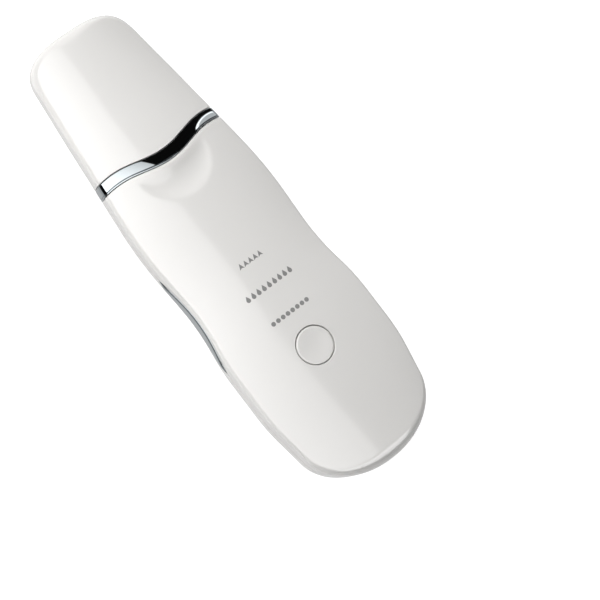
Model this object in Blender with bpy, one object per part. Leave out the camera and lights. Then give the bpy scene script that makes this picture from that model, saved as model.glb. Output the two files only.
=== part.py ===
"""Handheld ultrasonic skin scrubber with a pull-off cap, built for Blender 4.5.

Frame: +X across the device, +Y along it towards the cap, +Z out of the front face.
The device lies on its back: z = 0 is the flat sole of the back cover, and the origin
is under the middle of its length. Sizes below are in millimetres; MM turns them into
Blender's metres when a mesh is made.
"""

import math

import bmesh
import bpy
from mathutils import Matrix, Vector

MM = 0.001

# ---- Driving dimensions, in millimetres -------------------------------------------

LENGTH = 175.6
TIP_Y = LENGTH / 2
END_Y = -LENGTH / 2

WALL = 1.8  # moulded shell thickness of the covers and the ring
CAP_WALL = 1.6
GAP = 0.3  # clearance left between neighbouring solids

# Stations along the length: (y, value). Curves run smoothly through them.
HALF_WIDTH = [
    (-88, 22.0), (-72, 24.3), (-64, 25.6), (-57, 26.6), (-44, 26.9), (-31, 26.6), (-22, 25.4),
    (-11, 24.8), (0, 25.4), (14, 25.8), (37, 23.9), (60, 21.6), (76, 19.85), (88, 18.8),
]
FRONT_HEIGHT = [
    (-88, 24.2), (-60, 25.3), (-40, 25.5), (0, 23.6), (37, 21.0), (60, 18.2), (76, 16.4), (88, 15.2),
]
CROWN = [(-88, 3.0), (-40, 3.6), (-12, 4.7), (37, 5.6), (88, 5.2)]
WALL_HEIGHT = [(-88, 6.4), (0, 6.0), (37, 5.3), (88, 4.4)]

# The sole is flat up to SOLE_END. From there the back rises in a smooth sweep to the tip.
SOLE_END = 16.0
BACK_RISE, BACK_RISE_POWER = 3.2, 1.6

END_DEPTH, END_POWER = 16.0, 2.1  # rounded lower end, seen from the front
TIP_DEPTH, TIP_POWER = 12.0, 3.1  # rounded end of the cap
EDGE_ROUND_SIDE = 1.0
EDGE_ROUND_END = 3.0
SOLE_SHARE = 0.35  # half width of the flat sole over the half width of the body
BACK_POWER = 2.6

# The chrome ring and its wave.
RING_Y = 38.3
RING_HALF = 2.0
WAVE_DIP = 3.05
WAVE_REACH = 19.0
WAVE_FALL = 0.45
BODY_SEAM_Y = RING_Y - RING_HALF - GAP
CAP_SEAM_Y = RING_Y + RING_HALF + GAP

# The finger dimple under the ring: a dish between a round lower rim and a top edge along the ring.
DIMPLE_Y, DIMPLE_RADIUS = 33.2, 13.4  # centre and radius of the lower rim
DIMPLE_TOP = BODY_SEAM_Y - 1.6  # height of its top edge before the ring's wave
DIMPLE_DEPTH = 1.2

# The chrome grip strips on both sides.
STRIP_Y = -14.8
STRIP_HALF = 19.8
STRIP_UP = 4.6
STRIP_DOWN = 1.8
STRIP_THICK = 1.3
STRIP_PROUD = 0.2

# The button and the board behind it.
BUTTON_Y = -43.0
BUTTON_RADIUS = 6.3
BUTTON_TRAVEL = 0.5
BOARD_Z = 16.6
BOARD_THICK = 1.6
BOARD_TOP = BOARD_Z + BOARD_THICK
BOARD_HALF = 11.6
LABEL_Y = (-8.5, -18.4, -29.4)  # the three mode lights, from the cap end

# The neck, blade and transducer share one axis.
AXIS_Z = 10.2
BLADE_Z = 9.2
NECK_INSET = 2.15
NECK_REAR_INSET = 3.4
NECK_WALL = 1.4
NECK_STEP_Y = 33.4
NECK_REAR_Y = 25.0
NECK_FRONT_Y = 50.0
HORN_RADIUS = 4.9

CASE_SCREWS = ((15.4, 18.0), (-15.4, 18.0), (15.2, -66.0), (-15.2, -66.0))
BOARD_SCREWS = ((9.6, 9.0), (-9.6, -62.5))
PORT_Z = 15.3


# ---- Smooth curves through stations -----------------------------------------------


def smooth(stations, y):
    """A cubic through the stations, with the slope at each one that its neighbours give."""
    if y <= stations[0][0]:
        return stations[0][1]
    if y >= stations[-1][0]:
        return stations[-1][1]
    slopes = []
    for i in range(len(stations)):
        before, after = stations[max(i - 1, 0)], stations[min(i + 1, len(stations) - 1)]
        slopes.append((after[1] - before[1]) / (after[0] - before[0]))
    i = next(k for k in range(len(stations) - 1) if y <= stations[k + 1][0])
    (y0, v0), (y1, v1) = stations[i], stations[i + 1]
    span = y1 - y0
    t = (y - y0) / span
    return (
        v0 * (2 * t**3 - 3 * t**2 + 1)
        + slopes[i] * span * (t**3 - 2 * t**2 + t)
        + v1 * (3 * t**2 - 2 * t**3)
        + slopes[i + 1] * span * (t**3 - t**2)
    )


def smoothstep(t):
    t = min(max(t, 0.0), 1.0)
    return t * t * (3 - 2 * t)


def half_width(y):
    return smooth(HALF_WIDTH, y)


def back_height(y):
    """Height of the middle of the back over the surface that the device lies on."""
    rise = (y - SOLE_END) / (TIP_Y - SOLE_END)
    return BACK_RISE * max(rise, 0.0) ** BACK_RISE_POWER


def front_z(x, y):
    """Height of the crowned front face, without the dimple."""
    return smooth(FRONT_HEIGHT, y) - smooth(CROWN, y) * (x / half_width(y)) ** 2


def edge_z(y):
    return smooth(FRONT_HEIGHT, y) - smooth(CROWN, y)


def parting_z(y):
    """Height of the line where the front and back covers meet."""
    return edge_z(y) - smooth(WALL_HEIGHT, y)


def wave(x):
    """How far the ring's centre line lies below RING_Y at this x, as a negative number."""
    x = abs(x)
    if x < WAVE_REACH:
        return -WAVE_DIP * (0.5 + 0.5 * math.cos(math.pi * x / WAVE_REACH))
    return -WAVE_FALL * min((x - WAVE_REACH) / 5.0, 1.0) ** 2


def dimple(x, y):
    """Depth of the finger dimple at a point of the front face: a parabola along Y at each x."""
    if abs(x) >= DIMPLE_RADIUS:
        return 0.0
    top = DIMPLE_TOP + wave(x)
    bottom = DIMPLE_Y - math.sqrt(DIMPLE_RADIUS**2 - x**2)
    longest = DIMPLE_TOP - WAVE_DIP - (DIMPLE_Y - DIMPLE_RADIUS)
    return DIMPLE_DEPTH * 4 * max(top - y, 0.0) * max(y - bottom, 0.0) / longest**2


def strip_share(y):
    """1 in the middle of the grip strip, falling to 0 at its pointed ends."""
    return max(0.0, 1 - ((y - STRIP_Y) / STRIP_HALF) ** 2)


# ---- Cross sections ------------------------------------------------------------------


def spread(count):
    return [i / count for i in range(count + 1)]


class Section:
    """Half of a cross section: from the spine over the front, the edge and the wall to the back.

    edge and spine are points (x, y) in plan. Each part of the run is a list of (x, y, z).
    """

    def __init__(self, edge, spine, inset=0.0, warp=0.0, dimpled=False):
        self.spine = Vector((spine[0], spine[1]))
        run = Vector((edge[0], edge[1])) - self.spine
        self.out = run.normalized()
        self.full = run.length
        self.reach = self.full - inset
        self.inset = inset
        self.warp = warp
        self.dimpled = dimpled
        share = abs(self.out.y)
        size = EDGE_ROUND_SIDE + (EDGE_ROUND_END - EDGE_ROUND_SIDE) * share
        self.round = max(size - inset, 0.35)

    def place(self, r, wave_x):
        """Plan position at distance r from the spine, moved with the wave."""
        p = self.spine + self.out * r
        y = p.y + wave(wave_x) * self.warp
        x = p.x * half_width(y) / half_width(p.y) if self.warp else p.x
        return x, y

    def top(self, r):
        x, y = self.place(r, r)
        hollow = dimple(x, y) if self.dimpled else 0.0
        return x, y, front_z(x, y) - hollow - self.inset

    def front(self, count, start=0.0):
        flat = self.reach - self.round
        return [self.top(flat * (start + (1 - start) * t)) for t in spread(count)]

    def rounding(self, count):
        points = []
        for t in spread(count)[1:]:
            a = t * math.pi / 2
            x, y, z = self.top(self.reach - self.round * (1 - math.sin(a)))
            points.append((x, y, z - self.round * (1 - math.cos(a))))
        return points

    def side(self, z):
        """Point of the wall or the back at this height, below the front edge's rounding."""
        x, y = self.place(self.reach, self.full)
        low = back_height(y) + self.inset
        split = parting_z(y)
        if z >= split:
            return x, y, z
        rise = min(max((z - low) / (split - low), 0.0), 1.0)
        share = (1 - (1 - rise) ** BACK_POWER) ** (1 / BACK_POWER)
        sole = SOLE_SHARE * self.full
        x, y = self.place(sole + (self.reach - sole) * share, self.full)
        return x, y, z

    def back(self, count, first_z=None):
        """From the parting line, or from first_z under it, down and in to the sole."""
        x, y = self.place(self.reach, self.full)
        low = back_height(y) + self.inset
        split = parting_z(y)
        top = split if first_z is None else first_z
        sole = SOLE_SHARE * self.full
        start = 0.0
        if top < split:
            start = math.asin((1 - (top - low) / (split - low)) ** (BACK_POWER / 2))
        points = []
        for t in spread(count):
            a = start + (math.pi / 2 - start) * t
            share = math.cos(a) ** (2 / BACK_POWER) if t < 1 else 0.0
            drop = math.sin(a) ** (2 / BACK_POWER)
            x, y = self.place(sole + (self.reach - sole) * share, self.full)
            floor = back_height(y) + self.inset
            points.append((x, y, floor + (split - floor) * (1 - drop)))
        x, y = self.place(0.0, self.full)
        points.append((x, y, back_height(y) + self.inset))
        return points


def warp_at(y, seam, reach):
    """Share of the ring's wave that a row at y follows."""
    return 1 - smoothstep(abs(y - seam) / reach)


def body_stations(side_count, end_count):
    """(edge, spine, warp) from the right end of the seam, round the lower end, to its left end."""
    right = []
    focus = END_Y + END_DEPTH
    for t in spread(side_count):
        y = BODY_SEAM_Y + (focus - BODY_SEAM_Y) * t
        right.append(((half_width(y), y), (0, y), warp_at(y, BODY_SEAM_Y, 16)))
    for t in spread(end_count)[1:]:
        a = t * math.pi / 2
        y = focus - END_DEPTH * math.sin(a) ** (2 / END_POWER)
        x = half_width(y) * math.cos(a) ** (2 / END_POWER) if t < 1 else 0.0
        right.append(((x, y), (0, focus), 0.0))
    left = [((-e[0], e[1]), s, w) for e, s, w in reversed(right[:-1])]
    return right + left


def cap_stations(side_count, end_count):
    """(edge, spine, warp) from the left end of the cap's seam, round the tip, to the right end."""
    left = []
    focus = TIP_Y - TIP_DEPTH
    for t in spread(side_count):
        y = CAP_SEAM_Y + (focus - CAP_SEAM_Y) * t
        left.append(((-half_width(y), y), (0, y), warp_at(y, CAP_SEAM_Y, 15)))
    for t in spread(end_count)[1:]:
        a = t * math.pi / 2
        y = focus + TIP_DEPTH * math.sin(a) ** (2 / TIP_POWER)
        x = half_width(y) * math.cos(a) ** (2 / TIP_POWER) if t < 1 else 0.0
        left.append(((-x, y), (0, focus), 0.0))
    right = [((-e[0], e[1]), s, w) for e, s, w in reversed(left[:-1])]
    return left + right


def full_loop(y, inset, warp, front=6, back=5):
    """The whole closed outline at y, front centre first, going round by the right side."""

    def half(sign):
        s = Section((sign * half_width(y), y), (0, y), inset, warp)
        wall_top = s.rounding(2)
        return s.front(front) + wall_top + s.back(back)

    return half(1) + half(-1)[-2:0:-1]


# ---- Making meshes and objects ------------------------------------------------------


def clear_scene():
    for obj in list(bpy.data.objects):
        bpy.data.objects.remove(obj)


def material(name, colour, roughness, metallic=0.0):
    found = bpy.data.materials.get(name)
    if found:
        return found
    made = bpy.data.materials.new(name)
    made.use_nodes = True
    shader = made.node_tree.nodes["Principled BSDF"]
    shader.inputs["Base Color"].default_value = (*colour, 1)
    shader.inputs["Roughness"].default_value = roughness
    shader.inputs["Metallic"].default_value = metallic
    made.diffuse_color = (*colour, 1)
    return made


PAINTS = {
    "white_gloss": ((0.86, 0.86, 0.85), 0.12, 0.0),
    "white_matt": ((0.80, 0.80, 0.79), 0.45, 0.0),
    "chrome": ((0.86, 0.87, 0.88), 0.05, 1.0),
    "steel": ((0.72, 0.73, 0.74), 0.22, 1.0),
    "aluminium": ((0.78, 0.79, 0.80), 0.35, 1.0),
    "ceramic": ((0.30, 0.29, 0.27), 0.55, 0.0),
    "copper": ((0.80, 0.48, 0.30), 0.3, 1.0),
    "silicone": ((0.62, 0.63, 0.64), 0.6, 0.0),
    "clear": ((0.90, 0.92, 0.94), 0.1, 0.0),
    "board": ((0.03, 0.22, 0.10), 0.4, 0.0),
    "black": ((0.03, 0.03, 0.035), 0.4, 0.0),
    "cell": ((0.55, 0.58, 0.62), 0.4, 0.6),
    "foam": ((0.15, 0.15, 0.16), 0.9, 0.0),
    "red_wire": ((0.60, 0.04, 0.03), 0.4, 0.0),
    "black_wire": ((0.03, 0.03, 0.03), 0.4, 0.0),
    "led": ((0.80, 0.86, 0.95), 0.2, 0.0),
}


def link(name, mesh, paint, smooth_angle=40):
    obj = bpy.data.objects.new(name, mesh)
    bpy.context.scene.collection.objects.link(obj)
    mesh.materials.append(material(paint, *PAINTS[paint]))
    if smooth_angle:
        mesh.shade_smooth()
        mesh.set_sharp_from_angle(angle=math.radians(smooth_angle))
    return obj


def finish_bmesh(bm, name, paint, smooth_angle=40):
    """Welds, turns the faces outwards and links the mesh as an object."""
    bmesh.ops.remove_doubles(bm, verts=bm.verts, dist=1e-6)
    bmesh.ops.recalc_face_normals(bm, faces=bm.faces)
    mesh = bpy.data.meshes.new(name)
    bm.to_mesh(mesh)
    bm.free()
    return link(name, mesh, paint, smooth_angle)


def add_grid(bm, rows, loop_rows=False, loop_points=False):
    """Quads between neighbouring rows of points in millimetres. Returns the rows of vertices."""
    verts = [[bm.verts.new(Vector(p) * MM) for p in row] for row in rows]
    n_rows = len(verts) if loop_rows else len(verts) - 1
    n_points = len(verts[0]) if loop_points else len(verts[0]) - 1
    for i in range(n_rows):
        a, b = verts[i], verts[(i + 1) % len(verts)]
        for j in range(n_points):
            k = (j + 1) % len(a)
            bm.faces.new((a[j], a[k], b[k], b[j]))
    return verts


def join_edges(bm, first, second):
    """Quads between two equally long runs of vertices."""
    for i in range(len(first) - 1):
        bm.faces.new((first[i], first[i + 1], second[i + 1], second[i]))


def shell(name, outer_rows, inner_rows, rims, paint):
    """A closed shell from an outer and an inner grid. rims: which borders are joined."""
    bm = bmesh.new()
    outer, inner = add_grid(bm, outer_rows), add_grid(bm, inner_rows)
    if "ends" in rims:
        join_edges(bm, outer[0], inner[0])
        join_edges(bm, outer[-1], inner[-1])
    if "first" in rims:
        join_edges(bm, [row[0] for row in outer], [row[0] for row in inner])
    if "last" in rims:
        join_edges(bm, [row[-1] for row in outer], [row[-1] for row in inner])
    return finish_bmesh(bm, name, paint)


def loft(name, loops, paint, closed_band=False, smooth_angle=40):
    """A solid through closed loops: capped at both ends, or joined end to start as a band."""
    bm = bmesh.new()
    rows = add_grid(bm, loops, loop_rows=closed_band, loop_points=True)
    if not closed_band:
        bm.faces.new(rows[0])
        bm.faces.new(rows[-1])
    return finish_bmesh(bm, name, paint, smooth_angle)


def box(name, low, high, paint, bevel=0.0, segments=1):
    low, high = Vector(low), Vector(high)
    bm = bmesh.new()
    bmesh.ops.create_cube(bm, size=1.0)
    bmesh.ops.scale(bm, vec=(high - low) * MM, verts=bm.verts)
    bmesh.ops.translate(bm, vec=(high + low) * MM / 2, verts=bm.verts)
    if bevel:
        bmesh.ops.bevel(bm, geom=bm.edges[:], offset=bevel * MM, segments=segments, affect="EDGES")
    return finish_bmesh(bm, name, paint)


AXES = {
    "x": Matrix.Rotation(math.pi / 2, 3, "Y"),
    "y": Matrix.Rotation(-math.pi / 2, 3, "X"),
    "z": Matrix.Identity(3),
}


def turned(name, profile, centre, paint, axis="z", sides=24, closed=False):
    """A turned piece: profile is (radius, height) along the axis from the centre."""
    bm = bmesh.new()
    rows = []
    for i in range(sides):
        a = 2 * math.pi * i / sides
        row = []
        for radius, height in profile:
            p = AXES[axis] @ Vector((radius * math.cos(a), radius * math.sin(a), height))
            row.append(p + Vector(centre))
        rows.append(row)
    verts = add_grid(bm, rows, loop_rows=True, loop_points=closed)
    if not closed:
        bm.faces.new([row[0] for row in verts])
        bm.faces.new([row[-1] for row in reversed(verts)])
    return finish_bmesh(bm, name, paint, smooth_angle=30)


def cylinder(name, centre, radius, height, paint, axis="z", sides=24):
    return turned(name, [(radius, 0), (radius, height)], centre, paint, axis, sides)


def ring(name, centre, inner, outer, height, paint, axis="z", sides=24):
    profile = [(inner, 0), (outer, 0), (outer, height), (inner, height)]
    return turned(name, profile, centre, paint, axis, sides, closed=True)


def helper(obj):
    """Marks a cutter or a piece that is joined into another, so that it isn't part of the model."""
    obj.hide_render = True
    obj.display_type = "WIRE"
    return obj


def boolean(target, tool, operation):
    modifier = target.modifiers.new(operation.lower(), "BOOLEAN")
    modifier.operation = operation
    modifier.solver = "EXACT"
    modifier.object = helper(tool)


def cut(target, tool):
    boolean(target, tool, "DIFFERENCE")


def join(target, tool):
    boolean(target, tool, "UNION")


def through_points(points, count):
    """Points along a smooth curve through a hand-placed route."""
    places = [Vector(p) for p in points]
    ends = [2 * places[0] - places[1], *places, 2 * places[-1] - places[-2]]
    out = []
    for k in range(count + 1):
        s = k / count * (len(places) - 1)
        i = min(int(s), len(places) - 2)
        t = s - i
        p0, p1, p2, p3 = ends[i : i + 4]
        out.append(
            p1
            + (p2 - p0) * t / 2
            + (p0 - 2.5 * p1 + 2 * p2 - p3 / 2) * t**2
            + (1.5 * p1 - p0 / 2 - 1.5 * p2 + p3 / 2) * t**3
        )
    return out


def wire(name, route, radius, paint, count=9):
    curve = bpy.data.curves.new(name, "CURVE")
    curve.dimensions = "3D"
    curve.bevel_depth = radius * MM
    curve.bevel_resolution = 1
    curve.use_fill_caps = True
    points = through_points(route, count)
    spline = curve.splines.new("POLY")
    spline.points.add(len(points) - 1)
    for point, place in zip(spline.points, points):
        point.co = (*(place * MM), 1)
    obj = bpy.data.objects.new(name, curve)
    bpy.context.scene.collection.objects.link(obj)
    curve.materials.append(material(paint, *PAINTS[paint]))
    return obj


# ---- Covers and cap ---------------------------------------------------------------------


def cover_rows(inset, front_part, stations):
    rows = []
    for edge, spine, warp in stations:
        s = Section(edge, spine, inset, warp, dimpled=True)
        y = s.place(s.reach, s.full)[1]
        share = strip_share(y)
        if front_part:
            top = s.front(5) + s.rounding(2)
            low = parting_z(y) + GAP / 2 + STRIP_UP * share
            wall = [s.side(top[-1][2] + (low - top[-1][2]) * t) for t in (0.5, 1.0)]
            rows.append(top + wall)
        else:
            rows.append(s.back(5, parting_z(y) - GAP / 2 - STRIP_DOWN * share))
    return rows


def make_front_cover():
    stations = body_stations(17, 5)
    cover = shell(
        "front_cover",
        cover_rows(0, True, stations),
        cover_rows(WALL, True, stations),
        ("ends", "last"),
        "white_gloss",
    )
    for i, (x, y) in enumerate(CASE_SCREWS):
        top = front_z(x, y) - WALL / 2
        foot, roof, hole_end = 9.3, top - 1.0, top - 3.0
        profile = [(1.4, foot), (2.9, foot), (2.9, roof), (0.0, roof), (0.0, hole_end), (1.4, hole_end)]
        join(cover, boss(f"front_boss_{i}", profile, x, y))
    for i, (x, y) in enumerate(BOARD_SCREWS):
        top = front_z(x, y) - WALL / 2
        foot, hole_end = BOARD_TOP + GAP, top - 1.4
        profile = [(1.2, foot), (2.2, foot), (2.2, top), (0.0, top), (0.0, hole_end), (1.2, hole_end)]
        join(cover, boss(f"board_post_{i}", profile, x, y))
    cut(cover, cylinder("button_cutter", (0, BUTTON_Y, 20), BUTTON_RADIUS + GAP, 10, "white_gloss", sides=28))
    cut(cover, port_cutter("front_port_cutter"))
    return cover


def boss(name, profile, x, y, sides=12):
    """A round boss with a blind hole. profile runs round its half section, touching the axis once."""
    bm = bmesh.new()
    verts = [bm.verts.new(Vector((r, 0, z)) * MM) for r, z in profile]
    edges = [bm.edges.new((verts[i], verts[(i + 1) % len(verts)])) for i in range(len(verts))]
    bmesh.ops.spin(
        bm,
        geom=verts + edges,
        cent=(0, 0, 0),
        axis=(0, 0, 1),
        angle=2 * math.pi,
        steps=sides,
        use_merge=True,
    )
    bmesh.ops.translate(bm, vec=Vector((x, y, 0)) * MM, verts=bm.verts)
    bmesh.ops.dissolve_degenerate(bm, dist=1e-6, edges=bm.edges)
    return finish_bmesh(bm, name, "white_gloss")


def port_cutter(name):
    low, high = (-4.3, END_Y - 3, PORT_Z - 1.75), (4.3, END_Y + 5, PORT_Z + 1.75)
    return box(name, low, high, "white_gloss", bevel=0.6)


def make_back_cover():
    stations = body_stations(17, 5)
    cover = shell(
        "back_cover",
        cover_rows(0, False, stations),
        cover_rows(WALL, False, stations),
        ("ends", "first"),
        "white_gloss",
    )
    for i, (x, y) in enumerate(CASE_SCREWS):
        join(cover, cylinder(f"back_boss_{i}", (x, y, 2.2), 3.5, 6.8, "white_gloss", sides=16))
        cut(cover, cylinder(f"screw_recess_{i}", (x, y, -1), 2.75, 6.0, "white_gloss", sides=16))
        cut(cover, cylinder(f"screw_hole_{i}", (x, y, 3), 1.45, 8.0, "white_gloss", sides=12))
    cut(cover, port_cutter("back_port_cutter"))
    return cover


def cap_rows(inset, stations):
    rows = []
    for edge, spine, warp in stations:
        s = Section(edge, spine, inset, warp)
        rows.append(s.front(5) + s.rounding(2) + s.back(5))
    return rows


def make_cap():
    stations = cap_stations(6, 6)
    return shell("cap", cap_rows(0, stations), cap_rows(CAP_WALL, stations), ("ends",), "white_gloss")


def make_chrome_ring():
    """A band of constant width round the top of the body, dipping in the middle of the front."""
    chamfer = 0.35
    profile = [
        (-RING_HALF, chamfer), (-RING_HALF + chamfer, -0.05), (RING_HALF - chamfer, -0.05),
        (RING_HALF, chamfer), (RING_HALF, WALL), (-RING_HALF, WALL),
    ]
    loops = [full_loop(RING_Y + dy, inset, 1.0) for dy, inset in profile]
    return loft("chrome_ring", loops, "chrome", closed_band=True, smooth_angle=30)


def strip_loop(side, y):
    """Cross section of a grip strip: an outer face that follows the body and a flat inner one."""
    share = strip_share(y)
    high = parting_z(y) + STRIP_UP * share - GAP / 2
    low = parting_z(y) - STRIP_DOWN * share + GAP / 2
    outer = Section((side * (half_width(y) + STRIP_PROUD), y), (0, y))
    inner = Section((side * (half_width(y) - STRIP_THICK), y), (0, y))
    heights = [low + (high - low) * t for t in spread(4)]
    return [outer.side(z) for z in heights] + [inner.side(z) for z in reversed(heights)]


def make_grip_strips():
    for name, side in (("grip_strip_right", 1), ("grip_strip_left", -1)):
        reach = STRIP_HALF * 0.965
        loops = [strip_loop(side, STRIP_Y + reach * (2 * t - 1)) for t in spread(20)]
        loft(name, loops, "chrome", smooth_angle=30)


# ---- Neck, blade and transducer ---------------------------------------------------------


def neck_loop(y, inset):
    return full_loop(y, inset, 0.0, front=4, back=5)


def make_neck_frame():
    """The sleeve that the cap slides over. It carries the ring and holds the transducer."""
    outer = [
        (NECK_REAR_Y, NECK_REAR_INSET), (NECK_STEP_Y, NECK_REAR_INSET), (NECK_STEP_Y, NECK_INSET),
        (43.6, NECK_INSET), (43.6, NECK_INSET + 0.6), (44.8, NECK_INSET + 0.6), (44.8, NECK_INSET),
        (NECK_FRONT_Y - 0.8, NECK_INSET), (NECK_FRONT_Y, NECK_INSET + 0.8),
    ]
    rear = [(NECK_REAR_Y - 2, NECK_REAR_INSET + NECK_WALL), (33.0, NECK_REAR_INSET + NECK_WALL)]
    front = [(35.4, NECK_INSET + NECK_WALL), (47.6, NECK_INSET + NECK_WALL)]
    frame = loft("neck_frame", [neck_loop(y, inset) for y, inset in outer], "white_matt")
    cut(frame, loft("neck_rear_hollow", [neck_loop(y, inset) for y, inset in rear], "white_matt"))
    cut(frame, loft("neck_front_hollow", [neck_loop(y, inset) for y, inset in front], "white_matt"))
    hole = cylinder("bulkhead_hole", (0, 31, AXIS_Z), HORN_RADIUS + GAP, 8, "white_matt", "y", sides=20)
    cut(frame, hole)
    slot = (14.6, 2.0)
    low, high = (-slot[0], 46, BLADE_Z - slot[1]), (slot[0], 54, BLADE_Z + slot[1])
    cut(frame, box("blade_slot", low, high, "white_matt", 0.5))
    return frame


def make_cap_grip_ring():
    """A silicone band in the neck's groove. It holds the cap by friction and keeps water out."""
    base, top = NECK_INSET + 0.45, NECK_INSET - 0.25
    profile = [(43.9, base), (43.9, top), (44.5, top), (44.5, base)]
    loops = [neck_loop(y, inset) for y, inset in profile]
    return loft("cap_grip_ring", loops, "silicone", closed_band=True)


BLADE_THICK = 0.9
BLADE_ROWS = (
    40.0, 42.2, 44.5, 45.4, 46.4, 47.2, 49.5, 52.0, 58.0, 63.0, 66.0, 69.0, 74.0, 78.0, 80.5, 81.8, 82.5,
)
BLADE_LINE = [(40.0, 0.0), (52.0, 0.0), (62.0, 0.0), (65.0, 0.1), (68.0, 0.35), (82.5, 1.9)]
BLADE_HALF = [(40.0, 4.4), (44.5, 4.4), (47.2, 11.5), (52.0, 13.2), (70.0, 13.6), (80.0, 13.0), (82.5, 11.2)]


def blade_height(y):
    return BLADE_Z + smooth(BLADE_LINE, y)


def make_blade():
    """The stainless spatula: a narrow tang, a broad blade bent up towards the front, a thinned tip."""
    loops = []
    for y in BLADE_ROWS:
        z, half = blade_height(y), smooth(BLADE_HALF, y)
        thick = BLADE_THICK * (0.35 if y > 82 else 0.6 if y > 81 else 1.0) / 2
        low, high = z - thick, z + thick
        loops.append([(-half, y, low), (half, y, low), (half, y, high), (-half, y, high)])
    blade = loft("scrubber_blade", loops, "steel", smooth_angle=30)
    for i, y in enumerate((41.6, 44.2)):
        cut(blade, cylinder(f"tang_hole_{i}", (0, y, 5), 0.85, 10, "steel", sides=12))
    return blade


def make_transducer():
    """The sandwich transducer that shakes the blade: horn, two piezo rings, back mass and bolt."""
    half = BLADE_THICK / 2
    horn = turned(
        "transducer_horn",
        [
            (HORN_RADIUS, 26.9), (HORN_RADIUS, 36.8), (5.7, 36.8), (5.7, 38.0), (HORN_RADIUS, 38.0),
            (4.4, 45.6),
        ],
        (0, 0, AXIS_Z), "aluminium", axis="y", sides=20,
    )
    cut(horn, box("tang_seat", (-8, 39.7, BLADE_Z - half - 0.15), (8, 48, BLADE_Z + 9), "aluminium"))
    cut(horn, cylinder("horn_bolt_hole", (0, 20, AXIS_Z), 1.7, 12, "aluminium", axis="y", sides=16))
    for i, y in enumerate((41.6, 44.2)):
        cut(horn, cylinder(f"horn_screw_hole_{i}", (0, y, BLADE_Z - 3.0), 0.8, 6, "aluminium", sides=12))
        turned(
            f"blade_screw_{i + 1}",
            [(0.6, -2.5), (0.6, half + 0.15), (1.1, half + 0.15), (1.1, half + 0.8), (0.8, half + 1.0)],
            (0, y, BLADE_Z), "steel", sides=12,
        )
    ring("nodal_gasket", (0, 35.7, AXIS_Z), HORN_RADIUS + 0.3, 5.8, 0.8, "silicone", axis="y", sides=20)
    stack = [("piezo_ring_front", 24.0, 2.6, "ceramic"), ("piezo_ring_rear", 20.6, 2.6, "ceramic")]
    for name, y, height, paint in stack:
        ring(name, (0, y, AXIS_Z), 2.3, HORN_RADIUS - 0.2, height, paint, axis="y", sides=20)
    for name, y, side in (("electrode_middle", 23.45, 1), ("electrode_rear", 20.05, -1)):
        washer = ring(name, (0, y, AXIS_Z), 2.3, HORN_RADIUS - 0.4, 0.3, "copper", axis="y", sides=20)
        low, high = sorted((side * 4.4, side * 7.6))
        tab = box(f"{name}_tab", (low, y, AXIS_Z - 0.8), (high, y + 0.3, AXIS_Z + 0.8), "copper")
        join(washer, tab)
    ring("transducer_back_mass", (0, 10.6, AXIS_Z), 1.8, HORN_RADIUS, 9.2, "steel", axis="y", sides=20)
    turned(
        "transducer_bolt",
        [(2.8, 7.4), (3.2, 7.8), (3.2, 10.3), (1.4, 10.3), (1.4, 30.5), (1.1, 31.0)],
        (0, 0, AXIS_Z), "steel", axis="y", sides=18,
    )


def make_blade_seal():
    """The silicone boot that closes the slot round the blade."""
    half, lip = BLADE_THICK / 2, 0.25
    seal = box("blade_seal", (-14.2, 47.9, BLADE_Z - 1.65), (14.2, 51.4, BLADE_Z + 1.65), "silicone", 0.4)
    width = 13.35
    low, high = (-width - lip, 44, BLADE_Z - half - lip), (width + lip, 54, BLADE_Z + half + lip)
    cut(seal, box("seal_slot", low, high, "silicone"))
    return seal


# ---- Electronics ----------------------------------------------------------------------


def make_board():
    board = box("main_board", (-BOARD_HALF, -70, BOARD_Z), (BOARD_HALF, 13, BOARD_TOP), "board", 0.15)
    join(board, box("board_tongue", (-6, -84.4, BOARD_Z), (6, -69, BOARD_TOP), "board", 0.15))
    for i, (x, y) in enumerate(BOARD_SCREWS):
        cut(board, cylinder(f"board_hole_{i}", (x, y, 14), 1.3, 6, "board", sides=14))
        head = BOARD_Z - GAP
        screw = [(1.4, head - 1.2), (1.9, head - 0.8), (1.9, head), (0.9, head), (0.9, BOARD_TOP + 1.2)]
        turned(f"board_screw_{i + 1}", screw, (x, y, 0), "steel", sides=14)
    for name, y in zip(("mode_led_1", "mode_led_2", "mode_led_3"), LABEL_Y):
        box(name, (-1.0, y - 0.65, BOARD_TOP + 0.05), (1.0, y + 0.65, BOARD_TOP + 0.75), "led", 0.12)
    box("control_chip", (4.6, -64, BOARD_TOP + 0.05), (9.6, -57, BOARD_TOP + 1.4), "black", 0.15)
    box("driver_chip", (-11, 0.5, BOARD_TOP + 0.05), (-6, 5.5, BOARD_TOP + 1.3), "black", 0.15)
    cylinder("filter_capacitor", (9.0, -52.8, BOARD_TOP + 0.05), 2.4, 4.0, "black", sides=18)


def make_transformer():
    """The small step-up transformer that drives the piezo rings: two core halves round a bobbin."""
    top = BOARD_Z - GAP
    low = box("transformer_core_lower", (-6, -6.6, top - 8.0), (6, 4.4, top - 5.6), "black", 0.2)
    for i, (a, b) in enumerate(((-6, -4.2), (4.2, 6))):
        join(low, box(f"core_leg_{i}", (a, -6.6, top - 6.5), (b, 4.4, top - 2.9), "black"))
    box("transformer_core_upper", (-6, -6.6, top - 2.6), (6, 4.4, top - 0.6), "black", 0.2)
    box("transformer_winding", (-3.8, -5.9, top - 5.3), (3.8, 3.7, top - 2.9), "copper", 0.5, 2)


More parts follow.
